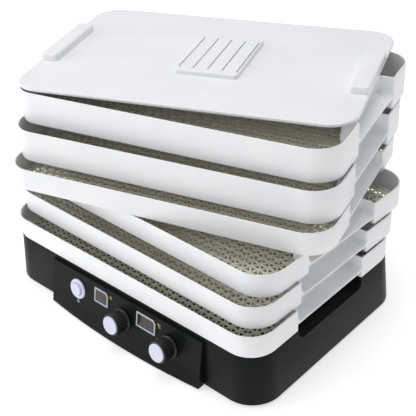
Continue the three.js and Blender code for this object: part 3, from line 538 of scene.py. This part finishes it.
# ------------------------------------------------------------------ knobs
# Two ribbed black knobs on steel shafts, each with a pale lavender disc let into its end.
# Black ABS, a little shinier than the panel.
knob_abs = moulded_plastic("black_ribbed_knob_abs", "121415", "191B1C", 0.38, 0.0009, 0.2)
KNOBS = {1: (KNOB_1_X, KNOB_1_UP), 2: (KNOB_2_X, KNOB_2_UP)}
for number, (x, up) in KNOBS.items():
    on_panel(f"ribbed_knob_{number}", f"knob_{number}", f"knob_{number}", "dark_plastic", knob_abs, [
        (3.3, 1.0), (15.2, 1.0), (15.5, 1.3), (15.5, 2.6), (15.2, 3.2), (14.0, 4.0),
        (14.0, 4.4), (14.0, 10.0), (13.9, 19.6), (13.6, 20.5),
        (13.2, 20.9), (12.8, 21.0), (12.1, 21.0), (12.1, 20.0), (3.3, 20.0), (3.3, 1.0),
    ], x, up, steps=192, flutes=24, depth=0.9, from_row=6, to_row=9)
    on_panel(f"knob_disc_{number}", f"knob_cap_{number}", f"knob_{number}", "lavender_plastic", lavender, [
        (0, 20.3), (11.8, 20.3), (11.8, 21.8), (11.5, 22.3), (10.8, 22.6), (9.6, 22.55), (6, 22.35),
        (0, 22.3),
    ], x, up)

# ------------------------------------------------------------------ trays
# Six white polypropylene trays. Each is one moulding: a thin wall with a rounded rim, a spigot foot
# that drops into the rim below, and a ledge to hold in a recess at each short end.
# Satin white for the trays, and an undyed, slightly yellow one for their lattices.
white_pp = moulded_plastic("white_satin_polypropylene", "F1F2F4", "ECEEF1", 0.42, 0.0012, 0.12)
mesh_pp = moulded_plastic("natural_polypropylene_lattice", "EFECDC", "E6E3D0", 0.5, 0.0012, 0.15)
SPIGOT_HEIGHT = 1.2 * MM
SPIGOT_INSET = 2.9 * MM
TRAY_WALL = 2.2 * MM
TRAY_FLOOR = 2.0 * MM
FLANGE_WIDTH = 6 * MM
LEDGE_THICKNESS = 2.5 * MM
LEDGE_FILLET = 8 * MM
END_FILLET = 7 * MM
# Each tray's turn in degrees, and how far its ledge lies below its rim in millimetres.
TURN = {6: 0.0, 5: -0.9, 4: -1.4, 3: 16.0, 2: 15.6, 1: 14.9}
LEDGE_DROP = {6: 18, 5: 18, 4: 18, 3: 18, 2: 24.5, 1: 24.5}


def tray_section(rim):
    """The tray wall's closed section as (inset, height): spigot, step, wall, round rim, floor flange."""
    step, inner = SPIGOT_HEIGHT, SPIGOT_INSET + TRAY_WALL
    angle = np.linspace(0, math.pi, 9)
    round_rim = [(TRAY_WALL / 2 * (1 - math.cos(a)), rim - TRAY_WALL / 2 * (1 - math.sin(a))) for a in angle]
    edge = 0.5 * MM
    return [
        (SPIGOT_INSET + edge, 0), (SPIGOT_INSET, edge), (SPIGOT_INSET, step),
        (edge, step), (edge * 0.3, step + edge * 0.3), (0, step + edge),
        *round_rim,
        (TRAY_WALL, step + TRAY_FLOOR + edge), (TRAY_WALL + edge, step + TRAY_FLOOR),
        (inner, step + TRAY_FLOOR), (inner, TRAY_FLOOR), (inner + FLANGE_WIDTH, TRAY_FLOOR),
        (inner + FLANGE_WIDTH, 0),
    ]


def ledge_solid(top):
    """The handle ledge in one recess: a section in (x, z) carried along y. Its top is a concave
    quarter circle up to the recess wall, and rises again by a quarter circle towards both ends."""
    inner, outer, half = TRAY_LENGTH / 2 - NOTCH_DEPTH, TRAY_LENGTH / 2, NOTCH_LENGTH / 2
    end = np.linspace(0, 1, 9)
    along = np.concatenate([-half - 1 * MM + 0 * end[:1], -half + END_FILLET * end,
                            half - END_FILLET * end[::-1], half + 1 * MM + 0 * end[:1]])
    reach = np.clip((np.abs(along) - (half - END_FILLET)) / END_FILLET, 0, 1)
    end_rise = END_FILLET * (1 - np.sqrt(1 - reach ** 2))
    across = np.concatenate([inner + LEDGE_FILLET * (1 - np.cos(np.linspace(0, math.pi / 2, 8))),
                             [outer - 0.8 * MM, outer - 0.2 * MM]])
    fade = np.clip((inner + LEDGE_FILLET - across) / LEDGE_FILLET, 0, 1)
    wall_rise = LEDGE_FILLET * (1 - np.sqrt(1 - fade ** 2))
    drop = np.where(across > outer - 0.5 * MM, 0.2 * MM, 0.0)
    top_z = top + np.maximum(end_rise[:, None], wall_rise[None, :]) - drop[None, :]
    y_top, x_top = np.meshgrid(along, across, indexing="ij")
    upper = np.stack([x_top, y_top, top_z], axis=-1)

    def edge_line(x, z):
        """One edge of the section along the whole recess, at an x and a height."""
        return np.stack([np.full_like(along, x), along, np.full_like(along, z)], axis=-1)[:, None]

    low, edge, root = top - LEDGE_THICKNESS, 0.5 * MM, 1 * MM
    front = edge_line(outer, top + end_rise - 0.8 * MM)
    nose = edge_line(outer, low + edge)
    chin = edge_line(outer - edge, low)
    back = edge_line(inner - root, low)
    rear = edge_line(inner - root, top + LEDGE_FILLET)
    grid = np.concatenate([rear, upper, front, nose, chin, back], axis=1)
    rows, columns = grid.shape[:2]
    i, j = np.meshgrid(np.arange(rows - 1), np.arange(columns), indexing="ij")
    right = (j + 1) % columns
    here, onward = i * columns, (i + 1) * columns
    sides = np.stack([here + j, onward + j, onward + right, here + right], axis=-1)
    first = list(range(columns))
    last = [(rows - 1) * columns + k for k in range(columns)][::-1]
    return grid.reshape(-1, 3), sides.reshape(-1, 4).tolist() + [first, last]


for number, angle in TURN.items():
    low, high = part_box(f"tray_{number}_frame")
    centre = ((low.x + high.x) / 2, (low.y + high.y) / 2, low.z)
    rim = high.z - low.z
    ledge_top = rim - LEDGE_DROP[number] * MM
    parts = [swept_ring(notched_outline, tray_section(rim))]
    for half_turn in (0.0, math.pi):
        vertices, faces = ledge_solid(ledge_top)
        parts.append((turned(vertices, half_turn), faces))
    vertices, faces = gathered(parts)
    tray = surface(f"moulded_tray_{number}", turned(vertices, math.radians(angle), centre), faces, white_pp)
    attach(tray, f"tray_{number}")
    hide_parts(f"tray_{number}_frame")

# ------------------------------------------------------------------ tray lattices
# Each tray's floor is a moulded lattice of three sets of straight ribs, 60 degrees apart, that leaves
# small triangular holes for the air, inside a flat border that lies on the tray's flange.
LATTICE_PITCH = 11.5 * MM
RIB_WIDTH = 2.7 * MM
RIB_TOP_WIDTH = 2.0 * MM
LATTICE_THICKNESS = 2.0 * MM
LATTICE_INSET = SPIGOT_INSET + TRAY_WALL + 0.5 * MM
BORDER_WIDTH = 3 * MM
LINES_EACH_SIDE = 40


def lattice_ribs(outline):
    """Parallel lines pitch * sin 60 apart in three directions, cut where they cross the outline:
    crossings are sorted along each line and taken in pairs, and every pair becomes one tapered bar."""
    start, end = outline, np.roll(outline, -1, axis=0)
    spacing = LATTICE_PITCH * math.sin(math.pi / 3)
    parts = []
    for step, direction in enumerate(np.radians([0.0, 60.0, 120.0])):
        along = np.array([math.cos(direction), math.sin(direction)])
        side = np.array([-along[1], along[0]])
        lines = np.arange(-LINES_EACH_SIDE, LINES_EACH_SIDE + 1) * spacing
        a = start @ side - lines[:, None]
        b = end @ side - lines[:, None]
        crosses = (a > 0) != (b > 0)
        share = a / np.where(crosses, a - b, 1.0)
        place = (start @ along) + share * ((end - start) @ along)
        order = np.sort(np.where(crosses, place, np.inf), axis=1)[:, :6].reshape(-1, 3, 2)
        line = np.repeat(lines, 3)
        first, last = order[..., 0].ravel(), order[..., 1].ravel()
        # Crossings that don't exist stay at infinity, so only finite pairs can be bars.
        keep = np.isfinite(last)
        keep[keep] = last[keep] - first[keep] > RIB_WIDTH
        line, first, last = line[keep], first[keep], last[keep]
        # Each direction lies a hair higher than the one before, so no two faces share a plane.
        lift = 0.01 * MM * step
        low, high = lift, LATTICE_THICKNESS - 0.05 * MM + lift
        corners = []
        for height, width in ((low, RIB_WIDTH), (high, RIB_TOP_WIDTH)):
            for reach, sign in ((first, -1), (first, 1), (last, 1), (last, -1)):
                flat = reach[:, None] * along + (line + sign * width / 2)[:, None] * side
                corners.append(np.c_[flat, np.full(len(flat), height)])
        vertices = np.stack(corners, axis=1).reshape(-1, 3)
        bar = np.array([[0, 1, 2, 3], [7, 6, 5, 4], [0, 4, 5, 1], [1, 5, 6, 2], [2, 6, 7, 3], [3, 7, 4, 0]])
        faces = (bar[None] + 8 * np.arange(len(line))[:, None, None]).reshape(-1, 4)
        parts.append((vertices, faces.tolist()))
    return gathered(parts)


border_section = [(LATTICE_INSET, 0), (LATTICE_INSET, LATTICE_THICKNESS),
                  (LATTICE_INSET + BORDER_WIDTH, LATTICE_THICKNESS), (LATTICE_INSET + BORDER_WIDTH, 0)]
for number, angle in TURN.items():
    low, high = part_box(f"tray_{number}_mesh")
    centre = ((low.x + high.x) / 2, (low.y + high.y) / 2, low.z)
    ribs = lattice_ribs(notched_outline(LATTICE_INSET + BORDER_WIDTH / 2))
    vertices, faces = gathered([ribs, swept_ring(notched_outline, border_section)])
    placed_vertices = turned(vertices, math.radians(angle), centre)
    lattice = surface(f"lattice_{number}", placed_vertices, faces, mesh_pp, 25.0)
    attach(lattice, f"tray_{number}")
    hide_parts(f"tray_{number}_mesh")

# ------------------------------------------------------------------ lid
# A flat white lid with a soft edge, moulded in one with two grip blocks at its short ends and a
# raised block in the middle that has five long air slots.
LID_TURN = 22.2
LID_LENGTH = 437.5 * MM
LID_WIDTH = 282.5 * MM
LID_CORNER = 36 * MM
LID_THICKNESS = 4.2 * MM
LID_EDGE = 1.5 * MM
GRIP_LENGTH = 113 * MM
GRIP_WIDTH = 24 * MM
GRIP_HEIGHT = 9 * MM
VENT_X, VENT_Y = 12 * MM, 5 * MM
VENT_WIDTH = 84 * MM
VENT_LENGTH = 118 * MM
VENT_HEIGHT = 5.5 * MM
VENT_SLOT = 1.7 * MM
VENT_SLOT_LENGTH = 98 * MM
VENT_PITCH = 19.2 * MM


def rounded_plate(length, width, radius, low, high, edge, bottom_edge, at=(0.0, 0.0)):
    """A plate whose upper and lower edges are quarter circles of the given radii."""
    angle = np.linspace(0, math.pi / 2, 6)
    lower = [(bottom_edge * (1 - math.sin(a)), low + bottom_edge * (1 - math.cos(a))) for a in angle]
    upper = [(edge * (1 - math.cos(a)), high - edge * (1 - math.sin(a))) for a in angle]
    rows = (lower if bottom_edge else [(0.0, low)]) + upper
    outlines = [rectangle(length, width, radius, inset, 12) + np.asarray(at) for inset, _ in rows]
    return stacked_solid(outlines, [z for _, z in rows])


lid_low, lid_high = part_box("lid")
lid_centre = ((lid_low.x + lid_high.x) / 2, (lid_low.y + lid_high.y) / 2, lid_low.z)
lid_angle = math.radians(LID_TURN)
# White polypropylene with an even satin.
white_lid = moulded_plastic("white_satin_lid_polypropylene", "EFF0F4", "EAECF0", 0.4, 0.0012, 0.1)


def lid_piece(name, part):
    """One closed part of the lid, in place."""
    vertices, faces = part
    return surface(name, turned(vertices, lid_angle, lid_centre), faces, white_lid)


grip_x = LID_LENGTH / 2 - GRIP_WIDTH / 2 - 0.6 * MM
root = LID_THICKNESS - 1 * MM
grip_top, vent_top = LID_THICKNESS + GRIP_HEIGHT, LID_THICKNESS + VENT_HEIGHT
plate = rounded_plate(LID_LENGTH, LID_WIDTH, LID_CORNER, 0, LID_THICKNESS, LID_EDGE, LID_EDGE)
lid = lid_piece("moulded_lid", plate)
vent = rounded_plate(VENT_WIDTH, VENT_LENGTH, 5 * MM, root, vent_top, 2 * MM, 0, (VENT_X, VENT_Y))
raised = [lid_piece("vent", vent)]
for side in (-1, 1):
    grip = rounded_plate(GRIP_WIDTH, GRIP_LENGTH, 5 * MM, root, grip_top, 2.5 * MM, 0, (side * grip_x, 0.0))
    raised.append(lid_piece("grip", grip))
carve(lid, raised, "UNION")
slots = []
for i in range(5):
    x = VENT_X + (i - 2) * VENT_PITCH
    slots.append(lid_piece("slot", block((x - VENT_SLOT / 2, VENT_Y - VENT_SLOT_LENGTH / 2, -1 * MM),
                                         (x + VENT_SLOT / 2, VENT_Y + VENT_SLOT_LENGTH / 2, 20 * MM))))
carve(lid, slots)
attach(lid, "lid")
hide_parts("lid")

# ------------------------------------------------------------------ camera, light and floor
# A pale floor under plain soft studio light, and a camera that looks down on the front right corner.
AZIMUTH, ELEVATION, ROLL = math.radians(43.85), math.radians(32.82), math.radians(-3.2)
DISTANCE = 1.093
FOCAL_LENGTH = 76.74
TARGET = Vector((base_x + 0.0508, base_y - 0.0295, base_bottom + 0.1523))

back = Vector((math.sin(AZIMUTH) * math.cos(ELEVATION), -math.cos(AZIMUTH) * math.cos(ELEVATION),
               math.sin(ELEVATION)))
level = Vector((0, 0, 1)).cross(back).normalized()
upright = back.cross(level)
right = level * math.cos(ROLL) + upright * math.sin(ROLL)
up = upright * math.cos(ROLL) - level * math.sin(ROLL)
camera = bpy.data.objects.new("camera", bpy.data.cameras.new("camera"))
camera.data.lens = FOCAL_LENGTH
camera.data.sensor_width = 36
placed = Matrix([right, up, back]).transposed().to_4x4()
placed.translation = TARGET + back * DISTANCE
camera.matrix_world = placed
bpy.context.scene.collection.objects.link(camera)
bpy.context.scene.camera = camera


def area_light(name, location, size, power, aim=(0, 0, 0.12)):
    """A square softbox that faces the object."""
    lamp = bpy.data.lights.new(name, "AREA")
    lamp.size, lamp.energy = size, power
    made = bpy.data.objects.new(name, lamp)
    made.location = location
    made.rotation_euler = (Vector(aim) - Vector(location)).to_track_quat("-Z", "Y").to_euler()
    bpy.context.scene.collection.objects.link(made)


SOFTBOX_SIZE, SOFTBOX_POWER = 1.6, 22
area_light("front_left_softbox", (-1.4, -1.8, 0.9), SOFTBOX_SIZE, SOFTBOX_POWER)
area_light("overhead_softbox", (-0.2, 0.2, 2.2), SOFTBOX_SIZE, SOFTBOX_POWER)

world = bpy.data.worlds.new("studio")
world.use_nodes = True
sky = world.node_tree.nodes["Background"]
sky.inputs["Color"].default_value = (1, 1, 1, 1)
sky.inputs["Strength"].default_value = 0.45
bpy.context.scene.world = world
bpy.context.scene.view_settings.view_transform = "Standard"

# The floor sheet glows a little, so that it stays an even white to its edges.
floor_mesh = bpy.data.meshes.new("floor")
reach = 6.0
sheet = [(-reach, -reach, 0), (reach, -reach, 0), (reach, reach, 0), (-reach, reach, 0)]
floor_mesh.from_pydata(sheet, [], [[0, 1, 2, 3]])
floor_paper = moulded_plastic("white_studio_paper", "D2D2D2", "D0D0D0", 0.9, 0.004, 0.05)
paper_shader = floor_paper.node_tree.nodes["Principled BSDF"]
paper_shader.inputs["Emission Color"].default_value = (1, 1, 1, 1)
paper_shader.inputs["Emission Strength"].default_value = 0.6
floor_mesh.materials.append(floor_paper)
floor = bpy.data.objects.new("floor", floor_mesh)
bpy.context.scene.collection.objects.link(floor)
